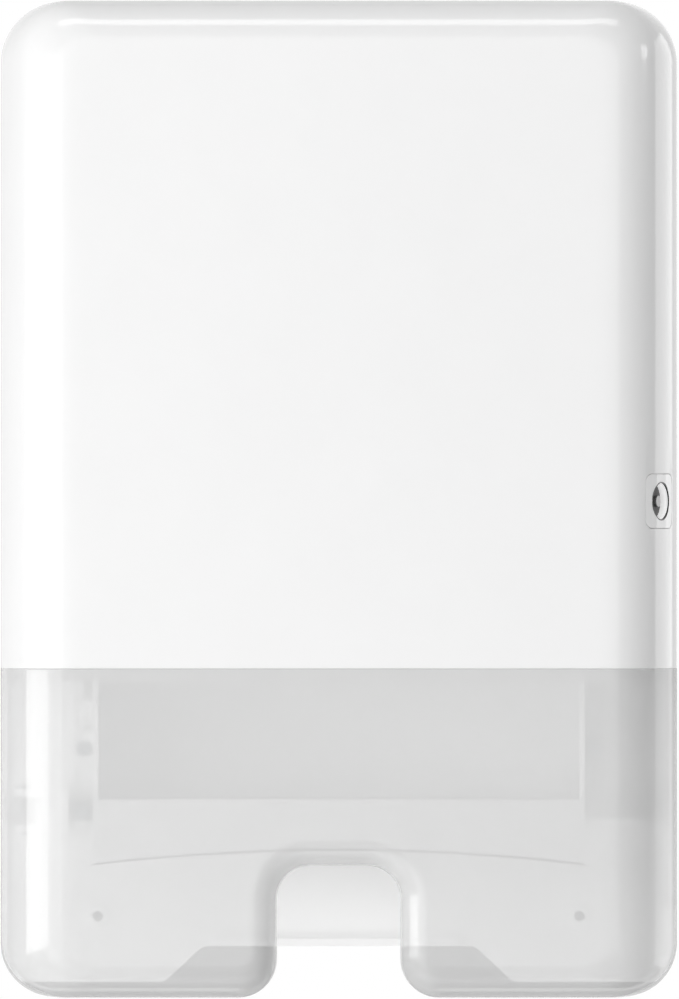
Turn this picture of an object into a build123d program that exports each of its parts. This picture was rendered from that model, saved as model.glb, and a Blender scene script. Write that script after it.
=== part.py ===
from build123d import *
import math
import os

# A wall-mounted dispenser for folded paper hand towels, in millimetres.
#
# Frame: +Z is up, the front faces -Y and the wall is the plane Y = 0. While a piece is modelled,
# its heights are measured from the bottom edge of the cover. save() moves the origin to the
# middle of the wall face.
#
# Bodies: the base stays on the wall, the cover swings on two pins at its left edge, and the
# lock turns in the cover and slides a latch bar down behind a pin on the base.

# --- Overall size ---
width = 302.0
height = 444.0
depth = 102.0

# --- Cover form: straight sides, a large flank arc, then a tighter roll to the flat front ---
wall = 3.0
flank_r = 70.0
flank_turn = 30.0
front_roll_r = 25.0
top_roll_r = 19.0
bottom_roll_r = 15.0
top_corner_r = 28.0
bottom_corner_r = 24.0
front_corner_r = 12.0
flank_steps = 4
roll_steps = 6

# --- Parting of the cover and the base ---
base_depth = 10.0
parting_gap = 0.3

# --- Window: the translucent lower part of the cover ---
split_height = 146.5
split_gap = 0.2
lap_gap = 0.15
lap_thickness = 1.75
lap_rise = 11.0
lap_root = 6.0

# --- Towel cut-out in the window ---
cutout_half = 28.0
cutout_top = 59.1
cutout_top_r = 15.7
cutout_foot_r = 16.5
cutout_roll = 12.0
cutout_flange_depth = 28.0
cutout_wall = 2.5
cutout_foot_drop = 0.2

# --- Back plate ---
plate = 2.5
rim = 3.0
rim_left_depth = 4.9
plate_bottom = 5.5
notch_top = 21.5
notch_half_top = 61.0
notch_half_bottom = 78.0
notch_r = 6.0
lip_height = 3.5
lip_depth = 5.0
wall_hole_r = 2.35
lower_hole_inset = 43.0
lower_hole_height = 35.0
upper_hole_inset = 71.0
upper_hole_drop = 44.0
hole_boss_r = 4.6
hole_boss_rise = 1.2
rib_spacing = 40.0
rib_count = 4
rib_width = 2.0
rib_rise = 1.2
rib_bottom = 160.0
rib_top_drop = 60.0
rail_height = 79.0
rail_thickness = 1.4
rail_depth = 12.0
rail_gap = 1.0
lower_catch_height = 41.0
upper_catch_drop = 44.0
catch_thickness = 2.7
catch_width = 7.4
catch_depth = 16.0
catch_gap = 0.8

# --- Hinge ---
hinge_inset = 10.0
hinge_depth = 18.0
hinge_lower = 82.5
hinge_upper_drop = 81.5
pin_r = 2.0
pin_head_r = 3.2
pin_head = 1.2
pin_tail = 1.0
seat_fit = 0.03
running_fit = 0.05
knuckle_r = 5.0
knuckle_height = 12.0
knuckle_arm = 8.0
hinge_gap = 0.3
ear = 3.5
ear_r = 4.5
ear_reach = 13.5
ear_leg = 6.5
ear_web = 2.5
swing_clearance = 7.0

# --- Towel chamber: side guides and tray ---
chamber_margin = 44.0
guide_wall = 2.5
guide_front_gap = 12.0
guide_bottom = 88.5
guide_top_drop = 19.0
guide_foot = 9.5
guide_foot_thickness = 2.5
channel_width = 4.0
channel_wall = 2.4
channel_depth = 10.0
channel_floor = 2.0
channel_bottom = 112.7
channel_slant = 5.3
channel_wall_bottom = 132.0
channel_bar = 1.7
channel_bar_heights = (118.8, 122.2)
guide_screw_lowest = 110.0
guide_screw_drop = 25.0
tray_floor_top = 86.5
tray_floor = 2.5
tray_front_gap = 10.0
tray_lip_middle = 65.6
tray_lip_side = 59.1
tray_cheek_rise = 1.7
tray_cheek_rear = 74.0
tray_flange_inset = 7.0
tray_flange_bottom = 70.0
tray_screw_inset = 27.0
tray_screw_height = 76.5
tab_length = 10.8
tab_bottom = 77.4
tab_top = 86.3

# --- Dispensing orifice ---
slot_inset = 27.0
slot_width = 38.0
slot_r = 17.0
slot_forward = 2.0
throat_wall = 7.0
throat_drop = 8.5
orifice_flange = 5.0
orifice_thickness = 2.0
orifice_edge_r = 3.0
orifice_fit = 0.25

# --- Screws ---
screw_r = 1.5
screw_head_r = 3.2
screw_head = 2.2
screw_fit = 0.05
plate_thread = 1.9
screw_end_gap = 0.1
socket_r = 1.6
socket_depth = 1.3

# --- Window screws and tabs ---
tab_screw_inner = 34.0
tab_screw_inset = 55.0
tab_screw_rise = 20.0
window_tab_width = 14.0
window_tab_rise = 28.0
window_tab_thickness = 2.3
window_boss_r = 4.0
window_boss_rise = 3.0
window_screw_length = 6.5

# --- Lock in the right flank of the cover ---
lock_height = 221.0
lock_turn = 26.0
face_length = 25.0
face_height = 24.0
face_r = 4.0
face_seat = 3.4
face_fit = 0.25
lock_body_length = 22.0
lock_body_height = 21.0
lock_body_r = 2.0
lock_body_depth = 16.0
collar_wall = 3.0
collar_depth = 8.0
clip_thickness = 1.8
clip_neck_half = 9.4
clip_half = 15.0
clip_fit = 0.1
recess_r = 8.5
recess_depth = 6.5
barrel_r = 6.0
barrel_head_r = 7.5
barrel_head = 1.4
barrel_gap = 0.1
key_post_r = 2.5
key_post_top = 1.6
key_post_stem_r = 1.5
key_post_stem = 4.0
key_post_flat = 1.7
drive_half = 3.0
drive_fit = 0.06
cam_gap = 0.4
cam_r = 8.6
cam_thickness = 2.5
cam_pin_r = 1.8
cam_pin_orbit = 5.66
cam_pin_reach = 6.0
cam_screw_length = 6.0

# --- Latch ---
latch_travel = 8.0
bar_depth = 22.0
bar_thickness = 3.0
bar_near = -1.5
bar_far = 11.0
bar_top = 40.0
bar_bottom = 50.0
bar_slot_fit = 0.3
hook_thickness = 3.0
hook_arm = 10.0
hook_lip = 6.0
hook_lip_thickness = 4.0
hook_ramp = 2.5
hook_root = 9.0
hook_play = 0.6
hook_gap = 0.5
guide_fit = 0.3
loop_wall = 2.5
loop_height = 9.0
loop_offset = 21.0
bracket_depth = 14.0
bracket_thickness = 2.5
bracket_far = 24.0
bracket_window = 13.6
bracket_boss_r = 3.6
bracket_near = -6.0
bracket_half = 30.0
bracket_screw_length = 8.0
bracket_screw_t = 19.5
bracket_screw_heights = (-25.0, 0.0, 25.0)

# --- Keeper on the base ---
keeper_inset = 22.5
keeper_pin_setback = 42.0
keeper_pin_r = 2.0
keeper_arm = 2.5
keeper_slot = 8.0
keeper_arm_rise = 4.0
keeper_arm_drop = 9.0
keeper_arm_end = 4.0
keeper_foot = 3.0
keeper_foot_reach = 11.0
keeper_web = 2.5
keeper_screw_offset = 5.5

# --- Values that follow from the ones above ---
over = 1.0
turn = math.radians(flank_turn)
roll_depth = front_roll_r * (1 - math.sin(turn))
flank_inset = flank_r * (1 - math.cos(turn))
front_inset = flank_inset + front_roll_r * math.cos(turn)
cover_rear = base_depth + parting_gap
hinge_x = hinge_inset - width / 2
hinge_upper = height - hinge_upper_drop
lower_hole_x = width / 2 - lower_hole_inset
upper_hole_x = width / 2 - upper_hole_inset
catch_heights = (lower_catch_height, height - upper_catch_drop)
guide_inner = width / 2 - chamber_margin
guide_outer = guide_inner + guide_wall
guide_depth = depth - guide_front_gap
guide_top = height - guide_top_drop
guide_screw_highest = guide_top - guide_screw_drop
guide_screw_middle = (guide_screw_lowest + guide_screw_highest) / 2
guide_screw_heights = (guide_screw_lowest, guide_screw_middle, guide_screw_highest)
tray_depth = depth - tray_front_gap
tray_flange_half = guide_inner - tray_flange_inset
tray_screw_x = guide_inner - tray_screw_inset
tab_screw_outer = width / 2 - tab_screw_inset
tab_screw_xs = (-tab_screw_outer, -tab_screw_inner, tab_screw_inner, tab_screw_outer)
tab_screw_height = split_height + tab_screw_rise
split_low = split_height - split_gap / 2
split_high = split_height + split_gap / 2
slot_length = 2 * (guide_inner - slot_inset)
slot_centre = tray_depth / 2 + slot_forward

lock_angle = math.radians(lock_turn)
lock_normal = Vector(math.cos(lock_angle), -math.sin(lock_angle), 0)
lock_along = Vector(math.sin(lock_angle), math.cos(lock_angle), 0)
flank_centre_x = width / 2 - flank_r
flank_centre_y = roll_depth + flank_r * math.sin(turn) - depth
lock_point = Vector(flank_centre_x, flank_centre_y, lock_height) + lock_normal * flank_r
lock_plane = Plane(origin=lock_point, x_dir=lock_along, z_dir=lock_normal)

barrel_front = recess_depth - barrel_gap - barrel_head
cam_front = lock_body_depth + cam_gap
cam_back = cam_front + cam_thickness
cam_pin_arm = cam_pin_orbit * math.sqrt(0.5)
keeper_x = width / 2 - keeper_inset
keeper_pin_y = depth - keeper_pin_setback
hook_under = lock_height - bar_bottom
keeper_height = hook_under - latch_travel - hook_play - keeper_pin_r


# --- Helpers ---
def save(name, *solids):
    """Write one node, with the origin moved to the middle of the wall face."""
    moved = [Pos(0, 0, -height / 2) * solid for solid in solids]
    shape = moved[0] if len(moved) == 1 else Compound(children=moved)
    export_step(shape, f"parts/{name}.step")


def box(x0, x1, y0, y1, z0, z1):
    """Box between two opposite corners."""
    middle = Pos((x0 + x1) / 2, (y0 + y1) / 2, (z0 + z1) / 2)
    return middle * Box(abs(x1 - x0), abs(y1 - y0), abs(z1 - z0))


def outline(corners):
    """Closed flat face from corners (x, y, radius) in order; radius 0 leaves a corner sharp."""
    cuts = []
    for index, (x, y, radius) in enumerate(corners):
        corner = Vector(x, y)
        if radius == 0:
            cuts.append((corner, corner, corner))
            continue
        before_x, before_y, _ = corners[index - 1]
        after_x, after_y, _ = corners[(index + 1) % len(corners)]
        before = (Vector(before_x, before_y) - corner).normalized()
        after = (Vector(after_x, after_y) - corner).normalized()
        half = math.radians(before.get_angle(after)) / 2
        bisector = (before + after).normalized()
        cut = radius / math.tan(half)
        middle = corner + bisector * (radius / math.sin(half) - radius)
        cuts.append((corner + before * cut, middle, corner + after * cut))
    edges = []
    for index, (start, middle, end) in enumerate(cuts):
        if (end - start).length > 0:
            edges.append(Edge.make_three_point_arc(start, middle, end))
        edges.append(Edge.make_line(end, cuts[(index + 1) % len(cuts)][0]))
    return Face(Wire(edges))


def rounded(x0, x1, y0, y1, radius):
    """Rectangle face between two corners with one corner radius."""
    return outline([(x0, y0, radius), (x1, y0, radius), (x1, y1, radius), (x0, y1, radius)])


def prism(face, low, high):
    """Plan-view face in X and Y raised between two heights."""
    return Pos(0, 0, low) * Solid.extrude(face, Vector(0, 0, high - low))


def front_prism(face, front, back):
    """Front-view face in X and height, carried from depth front to depth back off the wall."""
    placed = Plane.XZ.offset(back).location * face
    return Solid.extrude(placed, Vector(0, back - front, 0))


def cylinder_z(x, y, radius, low, high):
    """Upright cylinder between two heights."""
    return Pos(x, y, (low + high) / 2) * Cylinder(radius, high - low)


def cylinder_y(x, z, radius, front, back):
    """Cylinder square to the wall between two distances off the wall, front > back."""
    return Pos(x, -(front + back) / 2, z) * Rot(90, 0, 0) * Cylinder(radius, front - back)


def lock_box(t0, t1, z0, z1, d0, d1):
    """Box in the lock's frame: t along the flank to the rear, z from the lock, d deep inwards."""
    middle = Pos((t0 + t1) / 2, (z0 + z1) / 2, -(d0 + d1) / 2)
    return lock_plane * middle * Box(t1 - t0, z1 - z0, d1 - d0)


def lock_block(half_t, half_z, radius, d0, d1):
    """Rounded block centred on the lock's axis between two depths."""
    face = rounded(-half_t, half_t, -half_z, half_z, radius)
    return lock_plane * Pos(0, 0, -d1) * Solid.extrude(face, Vector(0, 0, d1 - d0))


def lock_cylinder(radius, d0, d1, t=0.0, z=0.0):
    """Cylinder along the lock's axis between two depths."""
    return lock_plane * Pos(t, z, -(d0 + d1) / 2) * Cylinder(radius, d1 - d0)


def screw(seat, length):
    """Pan-head screw: its head stands on the seat plane and its shank goes in behind it."""
    head = Pos(0, 0, screw_head / 2) * Cylinder(screw_head_r, screw_head)
    head -= Pos(0, 0, screw_head) * Cylinder(socket_r, 2 * socket_depth)
    shank = Pos(0, 0, -length / 2) * Cylinder(screw_r, length)
    return seat * (head + shank)


def wall_seat(x, distance, z):
    """Plane facing the front at a distance off the wall."""
    return Plane(origin=(x, -distance, z), x_dir=(1, 0, 0), z_dir=(0, -1, 0))


# --- The cover's form ---
def rolled(behind, radius):
    """Inset of a quarter-round edge at a depth behind the front."""
    if behind >= radius:
        return 0.0
    return radius - math.sqrt(max(radius**2 - (radius - behind) ** 2, 0.0))


def form_levels():
    """Depth behind the front, side inset and normal angle, from the flat front to the side."""
    levels = []
    for step in range(roll_steps + 1):
        angle = math.radians(90 - (90 - flank_turn) * step / roll_steps)
        behind = front_roll_r * (1 - math.sin(angle))
        inset = flank_inset + front_roll_r * (math.cos(turn) - math.cos(angle))
        levels.append((behind, inset, angle))
    for step in range(1, flank_steps + 1):
        angle = turn * (1 - step / flank_steps)
        behind = roll_depth + flank_r * (math.sin(turn) - math.sin(angle))
        levels.append((behind, flank_r * (1 - math.cos(angle)), angle))
    return levels


def form_section(behind, inset, angle, shrink):
    """Placed outline of the form at one level, shrunk inwards by a wall's offset."""
    behind += shrink * math.sin(angle)
    half = width / 2 - inset - shrink * math.cos(angle)
    top = height - shrink - rolled(behind - shrink, top_roll_r - shrink)
    bottom = shrink + rolled(behind - shrink, bottom_roll_r - shrink)
    share = inset / front_inset
    top_r = top_corner_r - shrink - (top_corner_r - front_corner_r) * share
    bottom_r = bottom_corner_r - shrink - (bottom_corner_r - front_corner_r) * share
    face = outline([
        (-half, bottom, bottom_r),
        (half, bottom, bottom_r),
        (half, top, top_r),
        (-half, top, top_r),
    ])
    return Plane.XZ.offset(depth - behind).location * face


def form(shrink, rear):
    """Solid of the cover's form, shrunk by a wall's offset and open-ended at a distance rear."""
    levels = form_levels()
    sections = [form_section(*level, shrink) for level in levels]
    sections.append(form_section(depth - rear, 0.0, 0.0, shrink))
    return Solid.make_loft([section.outer_wire() for section in sections], ruled=True)


def cutout_section(behind, grow):
    """Placed outline of the towel cut-out at a depth, grown outwards by its wall."""
    spread = rolled(behind, cutout_roll)
    half = cutout_half + spread + grow
    top = cutout_top + spread + grow
    foot = rolled(behind, bottom_roll_r) - cutout_foot_drop + grow
    foot_r = cutout_foot_r - spread - grow
    foot_x = cutout_half + cutout_foot_r + cutout_foot_drop
    right = [
        (foot_x, -bottom_roll_r, 0),
        (foot_x, foot, 0),
        (half, foot, foot_r),
        (half, top, cutout_top_r + spread),
    ]
    left = [(-x, z, radius) for x, z, radius in reversed(right)]
    return Plane.XZ.offset(depth - behind).location * outline(right + left)


def cutout(grow, front, rear):
    """Solid of the towel cut-out from a distance front off the wall to a distance rear."""
    behinds = [behind for behind, _, _ in form_levels()]
    behinds = [behind for behind in behinds if behind < depth - rear]
    sections = [cutout_section(behind, grow) for behind in behinds]
    sections.append(cutout_section(depth - rear, grow))
    solid = Solid.make_loft([section.outer_wire() for section in sections], ruled=True)
    if front > depth:
        solid += Solid.extrude(sections[0], Vector(0, depth - front, 0))
    return solid


# --- Pieces of the cover ---
def knuckle(level):
    """Hinge knuckle: a ring round the pin with an arm into the cover's left wall."""
    low = level - knuckle_height / 2
    high = level + knuckle_height / 2
    ring = cylinder_z(hinge_x, -hinge_depth, knuckle_r, low, high)
    front = -hinge_depth - knuckle_arm / 2
    return ring + box(-width / 2 + wall / 2, hinge_x, front, front + knuckle_arm, low, high)


def knuckle_bore(level):
    """Running bore of a knuckle."""
    reach = knuckle_height / 2 + over
    return cylinder_z(hinge_x, -hinge_depth, pin_r + running_fit, level - reach, level + reach)


def lock_collar():
    """Collar round the lock inside the flank, before its holes."""
    half_t = face_length / 2 + collar_wall
    half_z = face_height / 2 + collar_wall
    return lock_block(half_t, half_z, face_r, 0.0, collar_depth)


def lock_opening():
    """Stepped hole of the lock: the face seat, then the body's hole."""
    seat_t = face_length / 2 + face_fit
    seat_z = face_height / 2 + face_fit
    seat = lock_block(seat_t, seat_z, face_r, -wall, face_seat)
    body_t = lock_body_length / 2 + face_fit
    body_z = lock_body_height / 2 + face_fit
    return seat + lock_block(body_t, body_z, lock_body_r, 0.0, collar_depth + over)


def bracket_bosses():
    """Bosses on the flank that carry the latch guide, and their screw holes."""
    bosses = []
    holes = []
    for z in bracket_screw_heights:
        bosses.append(lock_cylinder(bracket_boss_r, 0.0, bracket_depth, bracket_screw_t, z))
        start = bracket_depth + bracket_thickness - bracket_screw_length - screw_end_gap
        end = bracket_depth + over
        holes.append(lock_cylinder(screw_r + screw_fit, start, end, bracket_screw_t, z))
    return bosses, holes


def window_screw_planes():
    """Seats of the window screws, on the tabs and facing the wall."""
    seat = depth - wall - window_boss_rise - window_tab_thickness
    return [
        Plane(origin=(x, -seat, tab_screw_height), x_dir=(1, 0, 0), z_dir=(0, 1, 0))
        for x in tab_screw_xs
    ]


def cover_shell(outer, inner, middle):
    """White upper part of the cover with its inner bosses, collar and upper knuckle."""
    keep = box(-width, width, -2 * depth, depth, split_high, 2 * height)
    shell = (outer - inner) & keep
    bosses, holes = bracket_bosses()
    boss_front = depth - wall / 2
    boss_back = depth - wall - window_boss_rise
    for x in tab_screw_xs:
        bosses.append(cylinder_y(x, tab_screw_height, window_boss_r, boss_front, boss_back))
    inside = lock_collar()
    for boss in bosses:
        inside += boss
    shell += inside & middle
    shell += knuckle(hinge_upper)
    shell -= knuckle_bore(hinge_upper)
    shell -= lock_opening()
    for hole in holes:
        shell -= hole
    screw_end = boss_back - window_tab_thickness + window_screw_length + screw_end_gap
    for x in tab_screw_xs:
        shell -= cylinder_y(x, tab_screw_height, screw_r + screw_fit, screw_end, boss_back - over)
    return shell


def window(outer, inner, middle):
    """Translucent lower part of the cover: skin, lap lip, screw tabs, cut-out and lower knuckle."""
    keep = box(-width, width, -2 * depth, depth, -height, split_low)
    skin = (outer - inner) & keep
    lip_outer = form(wall + lap_gap, cover_rear)
    lip_inner = form(wall + lap_gap + lap_thickness, plate)
    lip_band = box(-width, width, -2 * depth, depth, split_low - lap_root, split_low + lap_rise)
    root_band = box(-width, width, -2 * depth, depth, split_low - lap_root, split_low)
    lip = (lip_outer - lip_inner) & lip_band
    root = (middle - lip_inner) & root_band
    pane = skin + root + lip
    tab_front = depth - wall - window_boss_rise
    tab_back = tab_front - window_tab_thickness
    lip_front = depth - wall - lap_gap
    foot = split_low - lap_root
    hole_front = tab_front + over
    hole_back = tab_back - over
    for x in tab_screw_xs:
        left = x - window_tab_width / 2
        right = x + window_tab_width / 2
        pane += box(left, right, -tab_front, -tab_back, foot, split_low + window_tab_rise)
        pane += box(left, right, -lip_front, -tab_back, foot, split_low + lap_rise)
        pane -= cylinder_y(x, tab_screw_height, screw_r + screw_fit, hole_front, hole_back)
    flange_rear = depth - cutout_flange_depth
    pane += cutout(cutout_wall, depth, flange_rear) & outer
    pane += knuckle(hinge_lower)
    pane -= knuckle_bore(hinge_lower)
    pane -= cutout(0.0, depth + over, plate)
    return pane


def lock_housing(outer):
    """Rounded-square lock housing: flush face, grooved body, key recess and barrel bore."""
    face = lock_block(face_length / 2, face_height / 2, face_r, -wall, face_seat)
    housing = face & outer
    half_t = lock_body_length / 2
    half_z = lock_body_height / 2
    housing += lock_block(half_t, half_z, lock_body_r, face_seat - over, lock_body_depth)
    start = collar_depth
    end = collar_depth + clip_thickness + clip_fit
    groove = lock_block(half_t + over, half_z + over, lock_body_r, start, end)
    neck = clip_neck_half
    groove -= lock_block(neck, neck, lock_body_r, start - over, end + over)
    housing -= groove
    housing -= lock_cylinder(recess_r, -wall, recess_depth)
    housing -= lock_cylinder(barrel_r + running_fit, 0.0, lock_body_depth + over)
    return housing


def lock_clip():
    """Horseshoe clip that slides into the housing's groove and seats on the collar."""
    end = collar_depth + clip_thickness
    clip = lock_block(clip_half, clip_half, lock_body_r, collar_depth, end)
    neck = clip_neck_half + clip_fit
    return clip - lock_box(-neck, neck, -neck, clip_half + over, collar_depth - over, end + over)


def latch_guide():
    """Bracket behind the lock with two loops that the latch bar slides through."""
    back = bracket_depth + bracket_thickness
    guide = lock_box(bracket_near, bracket_far, -bracket_half, bracket_half, bracket_depth, back)
    window_box = (-bracket_window, bracket_window, -bracket_window, bracket_window)
    guide -= lock_box(*window_box, bracket_depth - over, back + over)
    channel_near = bar_near - guide_fit
    channel_far = bar_far + guide_fit
    channel_back = bar_depth + bar_thickness + guide_fit
    loop_near = channel_near - loop_wall
    loop_far = channel_far + loop_wall
    for side in (-1, 1):
        low = side * loop_offset - loop_height / 2
        high = low + loop_height
        guide += lock_box(loop_near, loop_far, low, high, bracket_depth, channel_back + loop_wall)
    reach = bracket_half + over
    channel_front = bar_depth - guide_fit
    guide -= lock_box(channel_near, channel_far, -reach, reach, channel_front, channel_back)
    hole_r = screw_r + screw_fit
    for z in bracket_screw_heights:
        guide -= lock_cylinder(hole_r, bracket_depth - over, back + over, bracket_screw_t, z)
    return guide


def latch_guide_screws():
    """Screws of the latch guide, driven from inside."""
    seat_depth = bracket_depth + bracket_thickness
    first = lock_point - lock_normal * seat_depth + lock_along * bracket_screw_t
    screws = []
    for z in bracket_screw_heights:
        seat = Plane(origin=first + Vector(0, 0, z), x_dir=(0, 0, 1), z_dir=-lock_normal)
        screws.append(screw(seat, bracket_screw_length))
    return screws


# --- Pieces that turn in the lock, and the latch bar ---
def lock_barrel():
    """Barrel with its head in the recess, a square drive end and two blind holes."""
    head_end = barrel_front + barrel_head
    barrel = lock_cylinder(barrel_head_r, barrel_front, head_end)
    barrel += lock_cylinder(barrel_r, barrel_front, cam_front)
    barrel += lock_box(-drive_half, drive_half, -drive_half, drive_half, cam_front - over, cam_back)
    stem = key_post_stem + screw_end_gap
    barrel -= lock_cylinder(key_post_stem_r + seat_fit, barrel_front - over, barrel_front + stem)
    screw_hole = cam_screw_length + screw_end_gap
    barrel -= lock_cylinder(screw_r + screw_fit, cam_back - screw_hole, cam_back + over)
    return barrel


def key_post():
    """Post that the key fits over, with one flat side and a stem into the barrel."""
    post = lock_cylinder(key_post_r, key_post_top, barrel_front)
    far = key_post_r + over
    post -= lock_box(key_post_flat, far, -far, far, key_post_top - over, barrel_front - over)
    return post + lock_cylinder(key_post_stem_r, barrel_front - over, barrel_front + key_post_stem)


def lock_cam():
    """Cam disc on the square drive with the pin that moves the latch bar."""
    cam = lock_cylinder(cam_r, cam_front, cam_back)
    pin_end = cam_back + cam_pin_reach
    cam += lock_cylinder(cam_pin_r, cam_front, pin_end, cam_pin_arm, cam_pin_arm)
    hole = drive_half + drive_fit
    return cam - lock_box(-hole, hole, -hole, hole, cam_front - over, cam_back + over)


def cam_screw():
    """Screw that holds the cam on the barrel."""
    origin = lock_point - lock_normal * cam_back
    return screw(Plane(origin=origin, x_dir=(0, 0, 1), z_dir=-lock_normal), cam_screw_length)


def latch_bar():
    """Sliding bar with the cam slot and, at its lower end, the hook that drops behind the pin."""
    bar_back = bar_depth + bar_thickness
    bar = lock_box(bar_near, bar_far, -bar_bottom, bar_top, bar_depth, bar_back)
    play = cam_pin_r + bar_slot_fit
    near = cam_pin_arm - play
    far = cam_pin_orbit + play
    bar -= lock_box(near, far, near, cam_pin_arm + play, bar_depth - over, bar_back + over)
    lip_front = -keeper_pin_y + keeper_pin_r + hook_gap
    lip_back = lip_front + hook_lip_thickness
    root = -keeper_pin_y - hook_root
    profile = outline([
        (root, hook_under, 0),
        (lip_front, hook_under, 0),
        (lip_front, hook_under - hook_lip, 0),
        (lip_back - hook_ramp, hook_under - hook_lip, 0),
        (lip_back, hook_under - hook_lip + hook_ramp, 0),
        (lip_back, hook_under + hook_arm, 0),
        (root, hook_under + hook_arm, 0),
    ])
    placed = Plane.YZ.offset(keeper_x - hook_thickness / 2).location * profile
    return bar + Solid.extrude(placed, Vector(hook_thickness, 0, 0))


# --- Pieces of the base ---
def hinge_ears(level):
    """Two ears and their web: they leave the pin to the right, then turn back to the plate."""
    inner = knuckle_height / 2 + hinge_gap
    end = hinge_x + ear_reach + ear_leg
    front = -hinge_depth - ear_r
    reach = inner + ear
    ears = box(end - ear_web, end, front, -plate / 2, level - reach, level + reach)
    for low, high in ((level - reach, level - inner), (level + inner, level + reach)):
        ears += cylinder_z(hinge_x, -hinge_depth, ear_r, low, high)
        ears += box(hinge_x, end, front, -hinge_depth + ear_r, low, high)
        ears += box(end - ear_leg, end, front, -plate / 2, low, high)
    low = level - reach - over
    high = level + reach + over
    return ears - cylinder_z(hinge_x, -hinge_depth, pin_r + seat_fit, low, high)


def hinge_pin(level):
    """Headed steel pin dropped through both ears."""
    reach = knuckle_height / 2 + hinge_gap + ear
    top = level + reach
    pin = cylinder_z(hinge_x, -hinge_depth, pin_r, level - reach - pin_tail, top)
    return pin + cylinder_z(hinge_x, -hinge_depth, pin_head_r, top, top + pin_head)


def base_screw_points():
    """Screw places on the plate, as node to (x, height, thickness of the piece it holds)."""
    foot_x = guide_outer + guide_foot / 2
    keeper_low = keeper_height - keeper_arm_drop - keeper_screw_offset
    keeper_high = keeper_height + keeper_arm_rise + keeper_screw_offset
    tab_x = guide_outer + tab_length / 2
    foot = guide_foot_thickness
    guides = [(x, z, foot) for x in (-foot_x, foot_x) for z in guide_screw_heights]
    tray = [(x, tray_screw_height, foot) for x in (-tray_screw_x, tray_screw_x)]
    tray.append((-tab_x, (tab_bottom + tab_top) / 2, foot))
    keeper = [(keeper_x, z, keeper_foot) for z in (keeper_low, keeper_high)]
    return {"guide_screws": guides, "tray_screws": tray, "keeper_screws": keeper}


def base_screws(node):
    """Screws of one node, seated on the pieces that they hold."""
    screws = []
    for x, z, held in base_screw_points()[node]:
        screws.append(screw(wall_seat(x, plate + held, z), held + plate_thread))
    return screws


def screw_holes(piece, node):
    """The piece with a through hole at each of a node's screws."""
    for x, z, held in base_screw_points()[node]:
        piece -= cylinder_y(x, z, screw_r + screw_fit, plate + held + over, plate / 2)
    return piece


def back_plate():
    """Wall panel with rim, notched foot, wall-screw holes, ribs, catches and hinge ears."""
    half = width / 2
    rim_face = outline([
        (-half, 0.0, bottom_corner_r),
        (half, 0.0, bottom_corner_r),
        (half, height, top_corner_r),
        (-half, height, top_corner_r),
    ])
    pocket_face = outline([
        (rim - half, -rim, bottom_corner_r - rim),
        (half - rim, -rim, bottom_corner_r - rim),
        (half - rim, height - rim, top_corner_r - rim),
        (rim - half, height - rim, top_corner_r - rim),
    ])
    foot_face = outline([
        (-half - over, plate_bottom, 0),
        (-notch_half_bottom, plate_bottom, notch_r),
        (-notch_half_top, notch_top, notch_r),
        (notch_half_top, notch_top, notch_r),
        (notch_half_bottom, plate_bottom, notch_r),
        (half + over, plate_bottom, 0),
        (half + over, height + over, 0),
        (-half - over, height + over, 0),
    ])
    panel = front_prism(rim_face, base_depth, 0.0)
    panel -= front_prism(pocket_face, base_depth + over, plate)
    panel &= front_prism(foot_face, base_depth + over, 0.0)
    relief_x = hinge_x + swing_clearance
    panel -= box(-width, relief_x, -2 * base_depth, -rim_left_depth, -over, height + over)
    lip_half = notch_half_top - notch_r
    panel += box(-lip_half, lip_half, -lip_depth, -plate / 2, notch_top, notch_top + lip_height)
    for index in range(rib_count):
        x = (index - (rib_count - 1) / 2) * rib_spacing
        rib_top = height - rib_top_drop
        front = -plate - rib_rise
        panel += box(x - rib_width / 2, x + rib_width / 2, front, -plate / 2, rib_bottom, rib_top)
    rail_low = rail_height - rail_thickness / 2
    rail_high = rail_height + rail_thickness / 2
    catch_far = half - rim - catch_gap
    panel += box(guide_outer + rail_gap, catch_far, -rail_depth, -plate / 2, rail_low, rail_high)
    catch_near = catch_far - catch_width
    for level in catch_heights:
        low = level - catch_thickness / 2
        high = level + catch_thickness / 2
        panel += box(catch_near, catch_far, -catch_depth, -plate / 2, low, high)
    panel += hinge_ears(hinge_lower)
    panel += hinge_ears(hinge_upper)
    holes = [(x, lower_hole_height) for x in (-lower_hole_x, lower_hole_x)]
    holes += [(x, height - upper_hole_drop) for x in (-upper_hole_x, upper_hole_x)]
    for x, z in holes:
        panel += cylinder_y(x, z, hole_boss_r, plate + hole_boss_rise, plate / 2)
        panel -= cylinder_y(x, z, wall_hole_r, base_depth, -over)
    thread_end = plate - plate_thread - screw_end_gap
    for points in base_screw_points().values():
        for x, z, _ in points:
            panel -= cylinder_y(x, z, screw_r + screw_fit, plate + over, thread_end)
    return panel


def side_guide(side):
    """Side wall of the towel chamber with its foot on the plate; side is -1 left or 1 right."""
    near = side * guide_inner
    far = side * guide_outer
    guide = box(near, far, -guide_depth, -plate, guide_bottom, guide_top)
    foot_far = side * (guide_outer + guide_foot)
    foot_front = -plate - guide_foot_thickness
    guide += box(near, foot_far, foot_front, -plate, guide_bottom, guide_top)
    if side < 0:
        guide += channel()
    return screw_holes(guide, "guide_screws")


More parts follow.
